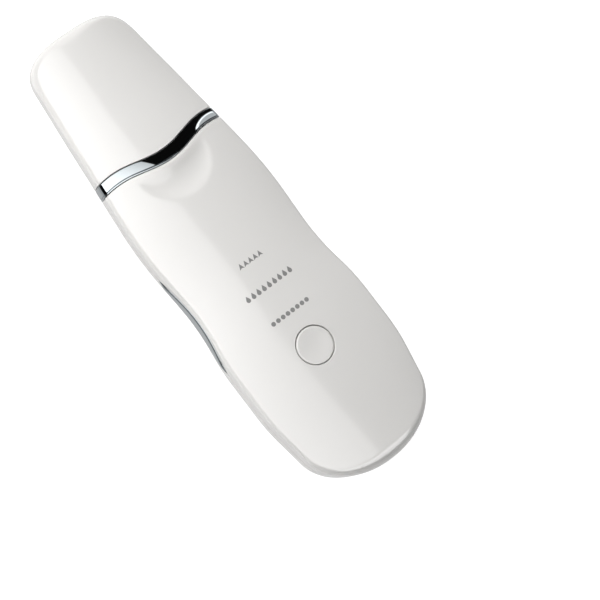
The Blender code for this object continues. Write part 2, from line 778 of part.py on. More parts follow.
def make_light_guide():
    """The clear block that carries each light to the thin wall under its label."""
    z0, z1 = BOARD_TOP + 1.0, BOARD_TOP + 3.0
    guide = box("light_guide", (-5.5, LABEL_Y[2] - 4, z0), (5.5, LABEL_Y[0] + 4, z0 + 0.8), "clear", 0.15)
    for i, y in enumerate(LABEL_Y):
        join(guide, box(f"light_pad_{i}", (-4.4, y - 1.7, z0 + 0.4), (4.4, y + 1.7, z1), "clear"))
    return guide


def make_switch_and_button():
    base = BOARD_TOP + 0.05
    body = box("button_switch", (-3, BUTTON_Y - 3, base), (3, BUTTON_Y + 3, base + 2.0), "black", 0.2)
    cut(body, cylinder("plunger_hole", (0, BUTTON_Y, base + 0.8), 1.95, 3, "black", sides=20))
    plunger = cylinder("switch_plunger", (0, BUTTON_Y, base + 1.5), 1.6, 1.15, "white_matt", sides=20)
    dome = front_z(0, BUTTON_Y)
    inner = dome - WALL
    button = turned(
        "power_button",
        [
            (1.5, base + 2.7), (1.5, inner - 1.9), (7.4, inner - 1.9), (7.4, inner - 1.0),
            (BUTTON_RADIUS, inner - 1.0), (BUTTON_RADIUS, dome - 0.75), (BUTTON_RADIUS - 0.35, dome - 0.4),
            (4.6, dome - 0.3), (2.4, dome - 0.4),
        ],
        (0, BUTTON_Y, 0), "white_gloss", sides=24,
    )
    ring("button_gasket", (0, BUTTON_Y, inner - 2.4), 7.9, 9.6, 1.5, "silicone", sides=24)
    return [button, plunger]


def make_battery():
    box("battery_cell", (-13.5, -60.5, 3.1), (13.5, -9.0, 10.4), "cell", 1.6, 3)
    box("battery_foam_upper", (-9, -52, 10.75), (9, -20, 12.2), "foam", 0.2)
    box("battery_foam_lower", (-9, -52, 2.15), (9, -20, 2.8), "foam", 0.1)
    box("battery_socket", (-10.4, -69, BOARD_Z - 4.1), (-4.4, -65.4, BOARD_Z - 0.3), "white_matt", 0.3)


def make_charge_port():
    """A small five-pin charging socket on the board's tongue, level with the parting line."""
    low, high = PORT_Z - 1.25, PORT_Z + 0.95
    port = box("charge_port", (-3.7, -87.1, low), (3.7, -81.6, high), "steel", 0.3)
    cut(port, box("port_mouth", (-3.3, -90, low + 0.35), (3.3, -82.4, high - 0.35), "steel", 0.2))
    box("port_tongue", (-2.6, -86.6, PORT_Z - 0.35), (2.6, -82.7, PORT_Z + 0.1), "black", 0.08)


def make_contacts():
    """Sprung leaves that join each grip strip to the board."""
    for name, side in (("strip_contact_right", 1), ("strip_contact_left", -1)):
        top = [
            (8.6, BOARD_TOP + 0.35), (12.4, BOARD_TOP + 0.35), (16.5, BOARD_TOP - 0.1),
            (20.0, BOARD_TOP - 1.5), (22.4, BOARD_TOP - 2.2), (22.9, BOARD_TOP - 3.5),
        ]
        bottom = [(x - 0.12, z - 0.25) for x, z in reversed(top)]
        loops = [[(side * x, STRIP_Y + dy, z) for x, z in top + bottom] for dy in (-2, 2)]
        loft(name, loops, "copper", smooth_angle=0)


def make_wires():
    end, start = BOARD_Z - 0.9, AXIS_Z
    front = [(8.2, 23.6, start), (10.3, 20.5, 11.3), (9.6, 15.0, 13.2), (7.4, 11.2, 14.6), (6.2, 9.4, end)]
    rear = [(-8.2, 20.2, start), (-10.3, 17.0, 11.4), (-9.4, 12.6, 13.3), (-7.2, 9.4, 14.6), (-6.2, 7.6, end)]
    wire("piezo_lead_front", front, 0.5, "red_wire")
    wire("piezo_lead_rear", rear, 0.5, "black_wire")
    for name, x0, x1, paint in (("positive", -8.9, -9.4, "red_wire"), ("negative", -5.5, -5.4, "black_wire")):
        route = [(x0, -61.3, 7.4), (x1, -64.6, 7.4), (x1, -70.4, 8.6), (x1, -72.4, 12.0), (x0, -69.8, 14.4)]
        wire(f"battery_lead_{name}", route, 0.6, paint)


def make_case_screws():
    for i, (x, y) in enumerate(CASE_SCREWS):
        turned(
            f"case_screw_{i + 1}",
            [(1.7, 3.4), (2.3, 3.5), (2.3, 4.7), (1.15, 4.7), (1.15, 14.6), (0.5, 15.4)],
            (x, y, 0), "steel", sides=12,
        )
        # a plug closes each recess and is also a foot, level with the sole
        turned(
            f"screw_plug_{i + 1}",
            [(2.1, 0.0), (2.45, 0.35), (2.45, 3.0), (2.1, 3.1)],
            (x, y, 0), "silicone", sides=14,
        )


def ride_on(name, place, pieces):
    """An empty on a joint's axis, which carries the pieces that move along it."""
    empty = bpy.data.objects.new(name, None)
    empty.location = Vector(place) * MM
    bpy.context.scene.collection.objects.link(empty)
    for piece in pieces:
        piece.parent = empty
        piece.matrix_parent_inverse = Matrix.Translation(-empty.location)


def main():
    clear_scene()
    make_front_cover()
    make_back_cover()
    ride_on("cap_slide", (0, CAP_SEAM_Y, AXIS_Z), [make_cap()])
    make_chrome_ring()
    make_grip_strips()
    make_neck_frame()
    make_cap_grip_ring()
    make_blade()
    make_blade_seal()
    make_transducer()
    make_board()
    make_transformer()
    make_light_guide()
    ride_on("button_slide", (0, BUTTON_Y, BOARD_TOP), make_switch_and_button())
    make_battery()
    make_charge_port()
    make_contacts()
    make_wires()
    make_case_screws()


main()
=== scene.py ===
"""The looks of a handheld ultrasonic skin scrubber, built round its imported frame.

Shapes are worked out in millimetres in the part's own frame: +X across the device, +Y towards the
cap, +Z out of the front face, z = 0 on the flat sole of the back. MM turns them into Blender's metres.
"""

import json
import math

import bmesh
import bpy
import numpy as np
from mathutils import Matrix, Vector


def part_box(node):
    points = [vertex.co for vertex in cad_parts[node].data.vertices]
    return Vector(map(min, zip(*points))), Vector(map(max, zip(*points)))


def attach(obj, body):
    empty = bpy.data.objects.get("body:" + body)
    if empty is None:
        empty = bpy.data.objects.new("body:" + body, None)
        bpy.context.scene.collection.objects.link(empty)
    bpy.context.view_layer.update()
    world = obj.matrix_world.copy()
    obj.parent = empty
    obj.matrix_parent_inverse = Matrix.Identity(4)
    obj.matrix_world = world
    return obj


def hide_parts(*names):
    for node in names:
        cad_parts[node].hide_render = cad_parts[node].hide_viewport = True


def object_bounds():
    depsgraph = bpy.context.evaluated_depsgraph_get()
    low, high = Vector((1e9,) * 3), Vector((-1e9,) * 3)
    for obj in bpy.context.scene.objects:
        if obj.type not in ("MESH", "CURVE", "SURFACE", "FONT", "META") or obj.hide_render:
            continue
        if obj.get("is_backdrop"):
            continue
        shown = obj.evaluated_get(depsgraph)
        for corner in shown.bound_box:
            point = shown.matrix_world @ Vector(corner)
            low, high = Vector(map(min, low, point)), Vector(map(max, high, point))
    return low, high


MM = 0.001

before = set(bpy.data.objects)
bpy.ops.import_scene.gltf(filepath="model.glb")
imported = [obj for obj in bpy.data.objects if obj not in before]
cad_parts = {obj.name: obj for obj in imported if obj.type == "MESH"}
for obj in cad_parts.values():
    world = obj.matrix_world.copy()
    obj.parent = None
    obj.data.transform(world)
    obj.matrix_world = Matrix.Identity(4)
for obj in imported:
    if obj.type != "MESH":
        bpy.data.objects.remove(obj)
CAD_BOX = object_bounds()


def corner(node, which, axis):
    """A coordinate of a CAD node's box, in millimetres: which is LOW or HIGH."""
    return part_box(node)[which][axis] / MM


def centre_of(node, axis):
    return (corner(node, LOW, axis) + corner(node, HIGH, axis)) / 2


X, Y, Z = 0, 1, 2
LOW, HIGH = 0, 1

# ---- Driving dimensions -------------------------------------------------------------

TIP_Y = corner("cap", HIGH, Y)
END_Y = corner("back_cover", LOW, Y)

WALL = 1.8  # moulded thickness of the covers and the ring
CAP_WALL = 1.6
GAP = 0.3

# The body's section at stations along Y: its half width, the height of the front, how far the front
# falls to its edge, and the height of the wall from there down to the parting line.
HALF_WIDTH = (
    (-88, 22.0), (-72, 24.3), (-64, 25.6), (-57, 26.6), (-44, 26.9), (-31, 26.6), (-22, 25.4),
    (-11, 24.8), (0, 25.4), (14, 25.8), (37, 23.9), (60, 21.6), (76, 19.85), (88, 18.8),
)
FRONT_HEIGHT = (
    (-88, 24.2), (-60, 25.3), (-40, 25.5), (0, 23.6), (37, 21.0), (60, 18.2), (76, 16.4), (88, 15.2),
)
CROWN = ((-88, 3.0), (-40, 3.6), (-12, 4.7), (37, 5.6), (88, 5.2))
WALL_HEIGHT = ((-88, 6.4), (0, 6.0), (37, 5.3), (88, 4.4))
SOLE_END = 16.0  # the sole is flat up to here, and then the back rises to the tip
BACK_RISE, BACK_RISE_POWER = 3.2, 1.6

END_DEPTH, END_POWER = 16.0, 2.1  # length and squareness of the lower end's curve
TIP_DEPTH, TIP_POWER = 12.0, 3.1  # the same for the cap's tip
END_ROWS = 34  # stations round an end, on each side
EDGE_ROUND_SIDE, EDGE_ROUND_END = 1.0, 4.6  # radius of the face's edge along the sides and round the ends
SOLE_SHARE = 0.35  # half width of the sole, as a share of the body's
BACK_POWER = 2.6  # squareness of the back's curve

RING_HALF = 2.0
RING_Y = corner("chrome_ring", HIGH, Y) - RING_HALF
WAVE_DIP, WAVE_REACH, WAVE_FALL = 3.05, 19.0, 0.45  # depth in the middle, half width, drop at the sides
BODY_WAVE_LENGTH, CAP_WAVE_LENGTH = 16.0, 15.0  # the wave has faded out this far from the ring
BODY_SEAM_Y = RING_Y - RING_HALF - GAP
CAP_SEAM_Y = RING_Y + RING_HALF + GAP
SEAM_ROUND = 0.22  # small radius on every moulded edge at a seam

DIMPLE_Y, DIMPLE_RADIUS = 33.2, 13.4  # centre and radius of its round lower rim
DIMPLE_TOP = BODY_SEAM_Y - 1.6  # its top edge, before the ring's wave
DIMPLE_DEPTH = 1.2

STRIP_Y, STRIP_HALF = -14.8, 19.8  # middle and half length of the grip strips' openings
STRIP_UP, STRIP_DOWN = 4.6, 1.8  # how far they reach above and below the parting line
STRIP_LENGTH_SHARE = 0.965  # how much of its opening's half length a strip fills
STRIP_THICK = 1.3
STRIP_INSET = 0.16  # how far a strip's edge lies inside the wall
STRIP_CROWN, STRIP_ROLL = 0.6, 0.6  # its rise from there, over an edge rounding of this width

RECESS_RADIUS, RECESS_DEPTH = 2.75, 4.2

BUTTON_Y = centre_of("power_button", Y)
BUTTON_RADIUS = 6.3
BUTTON_ROUND = 0.45  # radius of the button's top edge
MARK_ROWS = (-8.5, -18.4, -29.4)  # Y of the three rows of printed signs
MARK_HEIGHT = 2.5

NECK_INSET = 2.15  # how far the neck lies inside the body's surface
GRIP_LOW, GRIP_HIGH = 43.6, 44.8  # the neck's groove for the cap's grip ring
BLADE_Z = 9.2
BLADE_THICK = 0.9


# ---- Smooth curves ------------------------------------------------------------------


class Curve:
    """A natural cubic spline through stations, so that gloss on the surface shows no kinks."""

    def __init__(self, stations):
        self.y = np.array([s[0] for s in stations], float)
        self.v = np.array([s[1] for s in stations], float)
        n = len(self.y)
        step = np.diff(self.y)
        slope = np.diff(self.v) / step
        system, right = np.eye(n), np.zeros(n)
        for i in range(1, n - 1):
            system[i, i - 1 : i + 2] = step[i - 1], 2 * (step[i - 1] + step[i]), step[i]
            right[i] = 6 * (slope[i] - slope[i - 1])
        self.bend = np.linalg.solve(system, right)

    def __call__(self, y):
        y = np.clip(y, self.y[0], self.y[-1])
        i = np.clip(np.searchsorted(self.y, y, side="right") - 1, 0, len(self.y) - 2)
        step = self.y[i + 1] - self.y[i]
        a = (self.y[i + 1] - y) / step
        b = 1 - a
        bent = (a**3 - a) * self.bend[i] + (b**3 - b) * self.bend[i + 1]
        return a * self.v[i] + b * self.v[i + 1] + bent * step**2 / 6


half_width = Curve(HALF_WIDTH)
front_height = Curve(FRONT_HEIGHT)
crown = Curve(CROWN)
wall_height = Curve(WALL_HEIGHT)


def back_height(y):
    rise = np.maximum((y - SOLE_END) / (TIP_Y - SOLE_END), 0)
    return BACK_RISE * rise**BACK_RISE_POWER


def smoothstep(t):
    t = np.clip(t, 0, 1)
    return t * t * (3 - 2 * t)


def front_z(x, y):
    """Height of the crowned front face, without the dimple."""
    return front_height(y) - crown(y) * (x / half_width(y)) ** 2


def edge_z(y):
    return front_height(y) - crown(y)


def parting_z(y):
    return edge_z(y) - wall_height(y)


def wave(x):
    """How far a seam at the ring is moved along Y at this x."""
    x = np.abs(x)
    near = -WAVE_DIP * (0.5 + 0.5 * np.cos(np.pi * x / WAVE_REACH))
    far = -WAVE_FALL * np.clip((x - WAVE_REACH) / 5.0, 0, 1) ** 2
    return np.where(x < WAVE_REACH, near, far)


def dimple(x, y):
    """Depth of the finger dimple: a parabola along Y, from a rim along the ring to a round one."""
    top = DIMPLE_TOP + wave(x)
    bottom = DIMPLE_Y - np.sqrt(np.clip(DIMPLE_RADIUS**2 - x**2, 0, None))
    longest = DIMPLE_TOP - WAVE_DIP - (DIMPLE_Y - DIMPLE_RADIUS)
    dish = 4 * np.clip(top - y, 0, None) * np.clip(y - bottom, 0, None) / longest**2
    return DIMPLE_DEPTH * np.where(np.abs(x) < DIMPLE_RADIUS, dish, 0)


def strip_share(y):
    """1 in the middle of the grip strip, falling to 0 at its pointed ends."""
    return np.clip(1 - ((y - STRIP_Y) / STRIP_HALF) ** 2, 0, None)


# ---- The body's surface ---------------------------------------------------------------


class Outline:
    """Stations round the body seen from the front. Each runs from the spine out to the edge.

    edge_x, edge_y and spine_y give each station's two ends; inset takes every surface inwards, and
    warp is the share of the ring's wave that the station follows. Results are arrays of points,
    one row for each station.
    """

    def __init__(self, edge_x, edge_y, spine_y, warp, inset):
        edge_x, edge_y, spine_y, warp, inset = np.broadcast_arrays(edge_x, edge_y, spine_y, warp, inset)
        self.spine_y = spine_y[:, None]
        dx, dy = edge_x[:, None], edge_y[:, None] - self.spine_y
        self.full = np.hypot(dx, dy)
        self.out_x, self.out_y = dx / self.full, dy / self.full
        self.warp, self.inset = warp[:, None], inset[:, None]
        self.reach = self.full - self.inset
        size = EDGE_ROUND_SIDE + (EDGE_ROUND_END - EDGE_ROUND_SIDE) * np.abs(self.out_y)
        self.round = np.maximum(size - self.inset, 0.35)

    def place(self, r, wave_x):
        """Plan position at distance r from the spine."""
        plain_y = self.spine_y + self.out_y * r
        y = plain_y + wave(wave_x) * self.warp
        x = self.out_x * r * half_width(y) / half_width(plain_y)
        return x, y

    def front(self, count, hollow=dimple):
        r = (self.reach - self.round) * np.linspace(0, 1, count + 1)
        x, y = self.place(r, r)
        return stack(x, y, front_z(x, y) - hollow(x, y) - self.inset)

    def rounding(self, count):
        a = np.linspace(0, math.pi / 2, count + 1)[1:]
        r = self.reach - self.round * (1 - np.sin(a))
        x, y = self.place(r, r)
        return stack(x, y, front_z(x, y) - self.inset - self.round * (1 - np.cos(a)))

    def wall(self, low, count):
        """The upright wall, from the rounding down to low, with a small radius on its last edge."""
        x, y = self.place(self.reach, self.full)
        top = front_z(*self.place(self.reach, self.reach)) - self.inset - self.round
        last = low(y) + SEAM_ROUND
        z = top + (last - top) * np.linspace(0, 1, count + 1)[1:]
        a = np.linspace(0, math.pi / 2, 4)[1:]
        x_end, y_end = self.place(self.reach - SEAM_ROUND * (1 - np.cos(a)), self.full)
        z_end = last - SEAM_ROUND * np.sin(a)
        flat = np.ones_like(z)
        return np.concatenate([stack(x * flat, y * flat, z), stack(x_end, y_end, z_end)], axis=1)

    def back(self, count, drop=None):
        """From the parting line, or drop under it, down and in to the middle of the sole."""
        x, y = self.place(self.reach, self.full)
        low, split = back_height(y) + self.inset, parting_z(y)
        sole = SOLE_SHARE * self.full
        start = np.zeros_like(split)
        if drop is not None:
            start = np.arcsin((drop(y) / (split - low)) ** (BACK_POWER / 2))
        a = start + (math.pi / 2 - start) * np.linspace(0, 1, count + 1)
        share = np.maximum(np.cos(a), 0) ** (2 / BACK_POWER)
        fall = np.sin(a) ** (2 / BACK_POWER)
        x, y = self.place(sole + (self.reach - sole) * share, self.full)
        floor = back_height(y) + self.inset
        curve = stack(x, y, floor + (split - floor) * (1 - fall))
        across = sole * np.linspace(1, 0, 6)[1:]
        x, y = self.place(across, self.full)
        return np.concatenate([curve, stack(x, y, back_height(y) + self.inset)], axis=1)


def stack(x, y, z):
    return np.stack(np.broadcast_arrays(x, y, z), axis=-1)


def seam_rows(seam, away, rows):
    """(y, inset) of rows from a seam inwards: a small radius first, then even steps to away."""
    a = np.linspace(0, math.pi / 2, 5)
    step = 1 if away > seam else -1
    y = seam + step * SEAM_ROUND * (1 - np.cos(a))
    inset = SEAM_ROUND * (1 - np.sin(a))
    more = np.linspace(y[-1], away, rows + 1)[1:]
    return np.concatenate([y, more]), np.concatenate([inset, np.zeros(rows)])


def mirrored(edge_x, edge_y, spine_y, warp, inset):
    """One side's stations, then the other's in reverse, as one run round the end."""

    def both(values, sign=1):
        return np.concatenate([values, sign * values[-2::-1]])

    return both(edge_x, -1), both(edge_y), both(spine_y), both(warp), both(inset)


def run_round(seam, focus, depth, power, reach, rows, end_rows):
    """Stations from a seam along the right side, round an end that starts at focus, and back."""
    y, inset = seam_rows(seam, focus, rows)
    warp = 1 - smoothstep(np.abs(y - seam) / reach)
    a = np.linspace(0, math.pi / 2, end_rows + 1)[1:]
    side = 1 if focus > seam else -1
    end_y = focus + side * depth * np.sin(a) ** (2 / power)
    end_x = half_width(end_y) * np.maximum(np.cos(a), 0) ** (2 / power)
    end_x[-1] = 0.0
    zero = np.zeros_like(a)
    edge_x = np.concatenate([half_width(y), end_x])
    edge_y = np.concatenate([y, end_y])
    spine_y = np.concatenate([y, zero + focus])
    return mirrored(edge_x, edge_y, spine_y, np.concatenate([warp, zero]), np.concatenate([inset, zero]))


def body_run():
    return run_round(BODY_SEAM_Y, END_Y + END_DEPTH, END_DEPTH, END_POWER, BODY_WAVE_LENGTH, 110, END_ROWS)


def cap_run():
    return run_round(CAP_SEAM_Y, TIP_Y - TIP_DEPTH, TIP_DEPTH, TIP_POWER, CAP_WAVE_LENGTH, 34, END_ROWS)


def no_hollow(x, y):
    return 0.0


def loop_at(y, inset, warp, front=26, back=26):
    """The whole closed outline of the body at y, going round from the middle of the front."""
    right = Outline(*(np.array([value]) for value in (half_width(y), y, y, warp, inset)))
    half = np.concatenate([right.front(front, no_hollow), right.rounding(6), right.back(back)], axis=1)[0]
    return np.concatenate([half, half[-2:0:-1] * (-1, 1, 1)])


# ---- Meshes ---------------------------------------------------------------------------


def grid_faces(rows, points, first=0, loop_rows=False, loop_points=False):
    """Corner numbers of the quads of a grid whose vertices start at first."""
    faces = []
    for i in range(rows if loop_rows else rows - 1):
        for j in range(points if loop_points else points - 1):
            a, b = first + i * points, first + ((i + 1) % rows) * points
            k = (j + 1) % points
            faces.append((a + j, a + k, b + k, b + j))
    return faces


def piece(name, points, faces, smooth_angle=35):
    """An object from points in millimetres, welded, with its faces turned outwards."""
    mesh = bpy.data.meshes.new(name)
    mesh.from_pydata((np.asarray(points, float).reshape(-1, 3) * MM).tolist(), [], faces)
    bm = bmesh.new()
    bm.from_mesh(mesh)
    bmesh.ops.remove_doubles(bm, verts=bm.verts, dist=2e-6)
    bmesh.ops.dissolve_degenerate(bm, dist=1e-7, edges=bm.edges)
    bmesh.ops.recalc_face_normals(bm, faces=bm.faces)
    bm.to_mesh(mesh)
    bm.free()
    obj = bpy.data.objects.new(name, mesh)
    bpy.context.scene.collection.objects.link(obj)
    smooth(obj, smooth_angle)
    return obj


def smooth(obj, angle):
    obj.data.shade_smooth()
    obj.data.set_sharp_from_angle(angle=math.radians(angle))


def shell(name, outer, inner, rims):
    """A closed shell of an outer and an inner grid. rims names the borders that are joined."""
    rows, points = outer.shape[:2]
    second = rows * points
    faces = grid_faces(rows, points) + grid_faces(rows, points, second)
    borders = {
        "start": list(range(points)),
        "end": list(range((rows - 1) * points, rows * points)),
        "first": list(range(0, rows * points, points)),
        "last": list(range(points - 1, rows * points, points)),
    }
    for rim in rims:
        run = borders[rim]
        for a, b in zip(run, run[1:]):
            faces.append((a, b, second + b, second + a))
    return piece(name, np.concatenate([outer.reshape(-1, 3), inner.reshape(-1, 3)]), faces)


def loft(name, loops, band=False, smooth_angle=35):
    """A solid through closed loops, capped at both ends or joined end to start as a band."""
    loops = np.asarray(loops)
    rows, points = loops.shape[:2]
    faces = grid_faces(rows, points, loop_rows=band, loop_points=True)
    if not band:
        faces.append(tuple(range(points)))
        faces.append(tuple(range((rows - 1) * points, rows * points)))
    return piece(name, loops, faces, smooth_angle)


def carve(obj, cutter):
    """Cuts one mesh out of another for good and drops the cutter."""
    modifier = obj.modifiers.new("carve", "BOOLEAN")
    modifier.operation, modifier.solver, modifier.object = "DIFFERENCE", "EXACT", cutter
    graph = bpy.context.evaluated_depsgraph_get()
    carved = bpy.data.meshes.new_from_object(obj.evaluated_get(graph))
    obj.modifiers.clear()
    obj.data = carved
    bpy.data.objects.remove(cutter)
    smooth(obj, 35)


def arc(start, stop, count):
    """Angles in degrees turned into radians, both ends included."""
    return np.radians(np.linspace(start, stop, count + 1))


def turned(name, profile, centre, sides, follow=None):
    """A turned piece from (radius, height), upright. follow(x, y) lifts it onto a surface."""
    angles = np.linspace(0, 2 * math.pi, sides, endpoint=False)[:, None]
    radius = np.array([p[0] for p in profile])[None, :]
    height = np.array([p[1] for p in profile])[None, :] + 0 * angles
    points = stack(radius * np.cos(angles), radius * np.sin(angles), height) + np.array(centre, float)
    if follow:
        points[..., Z] += follow(points[..., X], points[..., Y])
    count = len(profile)
    faces = grid_faces(sides, count, loop_rows=True)
    faces.append(tuple(range(0, sides * count, count)))
    faces.append(tuple(range(count - 1, sides * count, count)))
    return piece(name, points, faces, 30)


def rounded_box(name, low, high, radius, segments=4):
    low, high = Vector(low), Vector(high)
    bm = bmesh.new()
    bmesh.ops.create_cube(bm, size=1.0)
    bmesh.ops.scale(bm, vec=(high - low) * MM, verts=bm.verts)
    bmesh.ops.translate(bm, vec=(high + low) / 2 * MM, verts=bm.verts)
    bmesh.ops.bevel(bm, geom=bm.edges[:], offset=radius * MM, segments=segments, profile=0.5, affect="EDGES")
    mesh = bpy.data.meshes.new(name)
    bm.to_mesh(mesh)
    bm.free()
    obj = bpy.data.objects.new(name, mesh)
    bpy.context.scene.collection.objects.link(obj)
    smooth(obj, 50)
    return obj


def place(obj, body, paint, slot, *nodes):
    """Gives a piece its body and material, and hides the CAD nodes that it stands for. slot is not used."""
    obj.data.materials.clear()
    obj.data.materials.append(paint)
    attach(obj, body)
    if nodes:
        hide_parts(*nodes)
    return obj


# ---- Materials ------------------------------------------------------------------------


NOISE_RANGE = (0.3, 0.7)  # where nearly all values of a noise texture lie


class Paint:
    """A Principled material and short ways to feed its sockets from procedural textures."""

    def __init__(self, name, **values):
        self.material = bpy.data.materials.new(name)
        self.material.use_nodes = True
        self.tree = self.material.node_tree
        self.shader = self.tree.nodes["Principled BSDF"]
        self.place = self.tree.nodes.new("ShaderNodeTexCoord").outputs["Object"]
        for socket, value in values.items():
            self.shader.inputs[socket.replace("_", " ")].default_value = value

    def node(self, kind, **settings):
        made = self.tree.nodes.new("ShaderNode" + kind)
        for key, value in settings.items():
            setattr(made, key, value)
        return made

    def link(self, source, target):
        self.tree.links.new(source, target)

    def stretched(self, scale):
        """Object coordinates scaled by (x, y, z), for grain that runs one way."""
        mapping = self.node("Mapping")
        mapping.inputs["Scale"].default_value = scale
        self.link(self.place, mapping.inputs["Vector"])
        return mapping.outputs["Vector"]

    def noise(self, scale, detail, roughness=0.5, where=None):
        made = self.node("TexNoise")
        made.inputs["Scale"].default_value = scale
        made.inputs["Detail"].default_value = detail
        made.inputs["Roughness"].default_value = roughness
        self.link(where or self.place, made.inputs["Vector"])
        return made.outputs["Fac"]

    def spread(self, value, low, high):
        """Maps a noise value from its usual range to low..high."""
        made = self.node("MapRange")
        made.inputs["From Min"].default_value, made.inputs["From Max"].default_value = NOISE_RANGE
        made.inputs["To Min"].default_value, made.inputs["To Max"].default_value = low, high
        self.link(value, made.inputs["Value"])
        return made.outputs["Result"]

    def colours(self, value, first, second):
        ramp = self.node("ValToRGB")
        for element, position, colour in zip(ramp.color_ramp.elements, NOISE_RANGE, (first, second)):
            element.position = position
            element.color = (*colour, 1)
        self.link(value, ramp.inputs["Fac"])
        self.link(ramp.outputs["Color"], self.shader.inputs["Base Color"])

    def rough(self, value, low, high):
        self.link(self.spread(value, low, high), self.shader.inputs["Roughness"])

    def bump(self, value, distance, strength=1.0):
        made = self.node("Bump")
        made.inputs["Distance"].default_value = distance
        made.inputs["Strength"].default_value = strength
        self.link(value, made.inputs["Height"])
        self.link(made.outputs["Normal"], self.shader.inputs["Normal"])


def gloss_white():
    """High-gloss white moulding: an even colour, a soft skin of orange peel and faint haze."""
    p = Paint("gloss_white", IOR=1.7, Coat_Weight=0.3, Coat_Roughness=0.05, Coat_IOR=1.5)
    p.colours(p.noise(22, 3), (0.834, 0.822, 0.802), (0.854, 0.843, 0.823))
    p.rough(p.noise(260, 4), 0.11, 0.17)
    p.bump(p.noise(420, 2), 0.0000016)
    return p.material


def matt_white():
    """Fine spark-eroded moulding for the neck and inside the cap."""
    p = Paint("matt_white", IOR=1.5)
    p.colours(p.noise(30, 3), (0.745, 0.74, 0.73), (0.775, 0.77, 0.76))
    p.rough(p.noise(700, 3), 0.42, 0.56)
    p.bump(p.noise(5200, 3), 0.000012)
    return p.material


def chrome():
    """Plated plastic: mirror bright, with the faint haze and waviness of a thin plated part."""
    p = Paint("chrome", Metallic=1.0)
    p.colours(p.noise(60, 2), (0.40, 0.43, 0.445), (0.43, 0.46, 0.475))
    p.rough(p.noise(500, 3), 0.015, 0.05)
    p.bump(p.noise(240, 2), 0.0000008)
    return p.material


def brushed(name, first, second, low, high, along=(60, 1500, 1500)):
    """Metal with fine lines that run across the stretched axis."""
    p = Paint(name, Metallic=1.0)
    grain = p.noise(1.0, 4, 0.65, p.stretched(along))
    p.colours(grain, first, second)
    p.rough(grain, low, high)
    p.bump(grain, 0.000003)
    return p.material


def cloudy(name, first, second, low, high, grain=900, distance=0.000005, **values):
    """A plain material with fine grain and a slow change of tone."""
    p = Paint(name, **values)
    p.colours(p.noise(45, 4), first, second)
    p.rough(p.noise(grain, 3), low, high)
    p.bump(p.noise(grain * 2.2, 3), distance)
    return p.material


def circuit_board():
    """Green solder mask with copper tracks showing through it."""
    p = Paint("circuit_board", Coat_Weight=0.3, Coat_Roughness=0.15)
    tracks = p.node("TexBrick")
    tracks.inputs["Scale"].default_value = 420
    tracks.inputs["Mortar Size"].default_value = 0.035
    colours = (0.012, 0.13, 0.05), (0.016, 0.16, 0.065), (0.05, 0.3, 0.12)
    for socket, colour in zip(("Color1", "Color2", "Mortar"), colours):
        tracks.inputs[socket].default_value = (*colour, 1)
    p.link(p.place, tracks.inputs["Vector"])
    p.link(tracks.outputs["Color"], p.shader.inputs["Base Color"])
    p.rough(p.noise(800, 2), 0.3, 0.42)
    p.bump(tracks.outputs["Fac"], 0.00002, 0.4)
    return p.material


def make_paints():
    return {
        "gloss_white": gloss_white(),
        "matt_white": matt_white(),
        "chrome": chrome(),
        "steel": brushed("steel", (0.60, 0.61, 0.62), (0.74, 0.75, 0.76), 0.16, 0.30),
        "turned_steel": brushed(
            "turned_steel", (0.5, 0.5, 0.51), (0.66, 0.66, 0.67), 0.2, 0.36, (900, 900, 90)
        ),
        "aluminium": brushed(
            "aluminium", (0.70, 0.71, 0.72), (0.80, 0.81, 0.82), 0.24, 0.4, (80, 1200, 1200)
        ),
        "copper": brushed("copper", (0.62, 0.33, 0.19), (0.83, 0.50, 0.32), 0.2, 0.38, (700, 700, 90)),
        "ceramic": cloudy("ceramic", (0.20, 0.19, 0.17), (0.30, 0.29, 0.27), 0.5, 0.7),
        "silicone": cloudy("silicone", (0.47, 0.48, 0.49), (0.53, 0.54, 0.55), 0.45, 0.62),
        "pale_silicone": cloudy("pale_silicone", (0.70, 0.695, 0.685), (0.75, 0.745, 0.735), 0.45, 0.6),
        "black": cloudy("black", (0.012, 0.012, 0.014), (0.028, 0.028, 0.031), 0.35, 0.55),
        "foam": cloudy("foam", (0.03, 0.03, 0.034), (0.09, 0.09, 0.095), 0.85, 0.97, 2600, 0.0001),
        "pouch": cloudy(
            "pouch", (0.40, 0.42, 0.45), (0.52, 0.54, 0.57), 0.28, 0.42, 500, 0.00001, Metallic=0.7
        ),
        "red_wire": cloudy("red_wire", (0.45, 0.02, 0.015), (0.58, 0.04, 0.03), 0.32, 0.45),
        "black_wire": cloudy("black_wire", (0.012, 0.012, 0.012), (0.03, 0.03, 0.03), 0.32, 0.45),
        "lens": cloudy("lens", (0.72, 0.78, 0.86), (0.84, 0.88, 0.94), 0.12, 0.2, Transmission_Weight=0.35),
        "acrylic": cloudy(
            "acrylic", (0.86, 0.89, 0.91), (0.93, 0.95, 0.96), 0.05, 0.12, Transmission_Weight=0.8
        ),
        "ink": cloudy("ink", (0.235, 0.232, 0.230), (0.29, 0.286, 0.282), 0.4, 0.55, 1500, 0.000002),
        "board": circuit_board(),
    }


# ---- Covers ---------------------------------------------------------------------------


def strip_rise(y):
    """Lower edge of the front cover, arched over the grip strip."""
    return parting_z(y) + GAP / 2 + STRIP_UP * strip_share(y)


def strip_drop(y):
    """How far the back cover's upper edge lies under the parting line."""
    return GAP / 2 + STRIP_DOWN * strip_share(y)


def outline_of(run, more_inset):
    edge_x, edge_y, spine_y, warp, inset = run
    return Outline(edge_x, edge_y, spine_y, warp, inset + more_inset)


